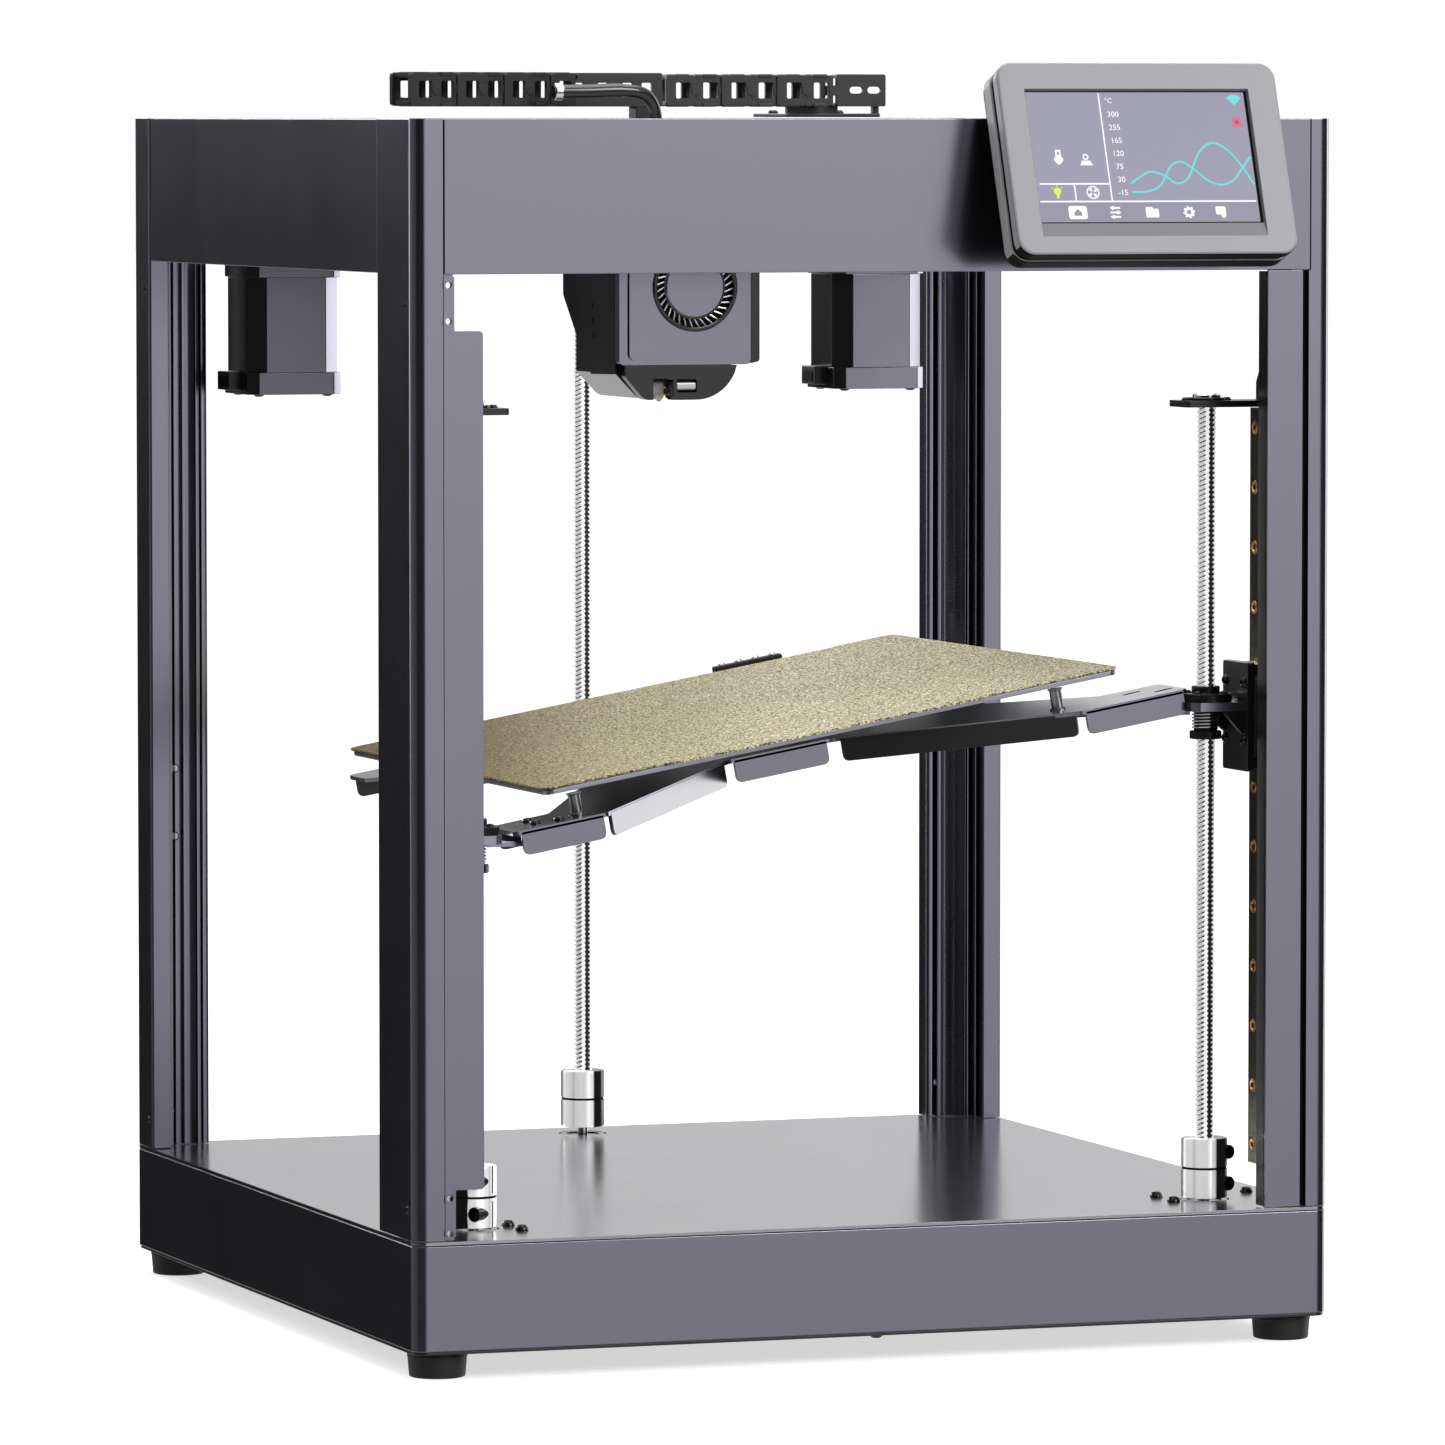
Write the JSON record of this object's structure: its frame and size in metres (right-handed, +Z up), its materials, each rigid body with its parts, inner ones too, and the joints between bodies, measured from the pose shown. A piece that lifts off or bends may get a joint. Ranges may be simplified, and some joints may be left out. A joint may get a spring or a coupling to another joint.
{
  "type": "fdm printer",
  "caption": "Open-frame filament printer: box frame, screw-driven bed that levels by tilting, belt-driven gantry with fan-cooled toolhead, front touch screen and cable chain.",
  "frame": {"origin": "middle of the underside of the overall bounding box, on the floor the feet stand on", "axes": "+Z up, -Y towards the user's side with the screen, +X to the user's right"},
  "size_m": [0.3974, 0.4458, 0.5281],
  "materials": {
    "frame_paint": "satin graphite powder coat",
    "deck_paint": "semi-gloss coat that mirrors the parts above it",
    "foot_rubber": "matt black moulded rubber",
    "motor_black": "satin black motor cans",
    "screw_steel": "bright rolled thread",
    "bright_aluminium": "bright turned aluminium",
    "rail_steel": "ground dark steel",
    "bracket_black": "satin black paint on sheet steel",
    "nut_polymer": "black polymer",
    "sheet_gold": "rough speckled gold polymer coat on spring steel",
    "plate_aluminium": "milled plate",
    "belt_rubber": "toothed belt",
    "head_plastic": "fine textured black moulding",
    "cover_paint": "satin graphite coat",
    "chain_plastic": "charcoal moulded links",
    "screen_plastic": "charcoal moulding",
    "screen_glass": "glossy display cover, lit from behind",
    "supply_aluminium": "folded sheet case",
    "board_green": "solder-masked circuit board",
    "switch_plastic": "glossy black rocker"
  },
  "bodies": {
    "frame": {"base_shell": "frame_paint", "deck_plate": "deck_paint", "foot_fl": "foot_rubber", "foot_fr": "foot_rubber", "foot_bl": "foot_rubber", "foot_br": "foot_rubber", "post_front_left": "frame_paint", "post_front_right": "frame_paint", "post_rear_left": "frame_paint", "post_rear_right": "frame_paint", "post_cover_left": "frame_paint", "post_cover_right": "frame_paint", "top_panel_front": "frame_paint", "top_panel_left": "frame_paint", "top_panel_right": "frame_paint", "top_panel_rear": "frame_paint", "z_motor_left": "motor_black", "z_motor_right": "motor_black", "z_motor_rear": "motor_black", "z_rail_left": "rail_steel", "z_rail_right": "rail_steel", "screw_bracket_left": "bracket_black", "screw_bracket_right": "bracket_black", "screw_bracket_rear": "bracket_black", "side_beam_left": "frame_paint", "side_beam_right": "frame_paint", "xy_motor_left": "motor_black", "xy_motor_right": "motor_black", "belt_left": "belt_rubber", "belt_right": "belt_rubber", "chain_fixed": "chain_plastic", "screen_bezel": "screen_plastic", "screen_glass": "screen_glass", "screen_back": "screen_plastic", "power_supply": "supply_aluminium", "mainboard": "board_green", "power_inlet": "head_plastic"},
    "stage": {"nut_rear": "nut_polymer"},
    "bed": {"bed_support": "bracket_black", "heated_plate": "plate_aluminium"},
    "sheet": {"build_sheet": "sheet_gold"},
    "right_carriage": {"carriage_right": "bracket_black", "nut_right": "nut_polymer"},
    "left_carriage": {"carriage_left": "bracket_black", "nut_left": "nut_polymer"},
    "left_screw": {"lead_screw_left": "screw_steel", "coupler_left": "bright_aluminium"},
    "right_screw": {"lead_screw_right": "screw_steel", "coupler_right": "bright_aluminium"},
    "rear_screw": {"lead_screw_rear": "screw_steel", "coupler_rear": "bright_aluminium"},
    "gantry": {"gantry_beam": "bright_aluminium"},
    "head": {"head_housing": "head_plastic", "head_cover": "cover_paint", "hotend": "bright_aluminium", "chain_head": "chain_plastic"},
    "fan": {"fan_rotor": "head_plastic"},
    "left_pulley": {"pulley_left": "bright_aluminium"},
    "right_pulley": {"pulley_right": "bright_aluminium"},
    "rocker": {"power_rocker": "switch_plastic"}
  },
  "joints": [
    {"name": "bed_lift", "type": "slide", "parent": "frame", "child": "stage", "axis": [0, 0, 1], "range_m": [-0.11, 0.105]},
    {"name": "bed_tilt", "type": "hinge", "parent": "stage", "child": "bed", "pos_m": [0, 0.0138, 0.2407], "axis": [0, -1, 0], "range_deg": [-20.2, 0]},
    {"name": "sheet_pull", "type": "slide", "parent": "bed", "child": "sheet", "axis": [0, -1, 0], "range_m": [0, 0.06]},
    {"name": "right_carriage_slide", "type": "slide", "parent": "stage", "child": "right_carriage", "axis": [0, 0, 1], "range_m": [-0.0476, 0.0005]},
    {"name": "left_carriage_slide", "type": "slide", "parent": "stage", "child": "left_carriage", "axis": [0, 0, 1], "range_m": [-0.0005, 0.0476]},
    {"name": "left_screw_spin", "type": "hinge", "parent": "frame", "child": "left_screw", "pos_m": [-0.1602, -0.1352, 0.0568], "axis": [0, 0, 1], "range_deg": [-4955, 4730]},
    {"name": "right_screw_spin", "type": "hinge", "parent": "frame", "child": "right_screw", "pos_m": [0.1602, -0.1352, 0.0568], "axis": [0, 0, 1], "range_deg": [-4955, 4730]},
    {"name": "rear_screw_spin", "type": "hinge", "parent": "frame", "child": "rear_screw", "pos_m": [0, 0.1983, 0.0592], "axis": [0, 0, 1], "range_deg": [-4955, 4730]},
    {"name": "gantry_y", "type": "slide", "parent": "frame", "child": "gantry", "axis": [0, 1, 0], "range_m": [-0.13, 0.104]},
    {"name": "head_x", "type": "slide", "parent": "gantry", "child": "head", "axis": [1, 0, 0], "range_m": [-0.1, 0.15]},
    {"name": "fan_spin", "type": "hinge", "parent": "head", "child": "fan", "pos_m": [-0.0213, -0.0122, 0.4346], "axis": [0, 1, 0], "continuous": true},
    {"name": "left_pulley_spin", "type": "hinge", "parent": "frame", "child": "left_pulley", "pos_m": [-0.14, 0.1918, 0.4482], "axis": [0, 0, 1], "range_deg": [-456, 680]},
    {"name": "right_pulley_spin", "type": "hinge", "parent": "frame", "child": "right_pulley", "pos_m": [0.131, 0.1918, 0.4482], "axis": [0, 0, 1], "range_deg": [-456, 680]},
    {"name": "power_rocker", "type": "hinge", "parent": "frame", "child": "rocker", "pos_m": [-0.1125, 0.2169, 0.0328], "axis": [1, 0, 0], "range_deg": [-8, 8]}
  ],
  "couplings": [
    {"joint": "right_carriage_slide", "follows": "bed_tilt", "m_per_rad": 0.13435},
    {"joint": "left_carriage_slide", "follows": "bed_tilt", "m_per_rad": -0.13435},
    {"joint": "left_screw_spin", "follows": "bed_lift", "rad_per_m": 785.4},
    {"joint": "right_screw_spin", "follows": "bed_lift", "rad_per_m": 785.4},
    {"joint": "rear_screw_spin", "follows": "bed_lift", "rad_per_m": 785.4},
    {"joint": "left_pulley_spin", "follows": "head_x", "rad_per_m": 78.54},
    {"joint": "right_pulley_spin", "follows": "head_x", "rad_per_m": 78.54}
  ]
}
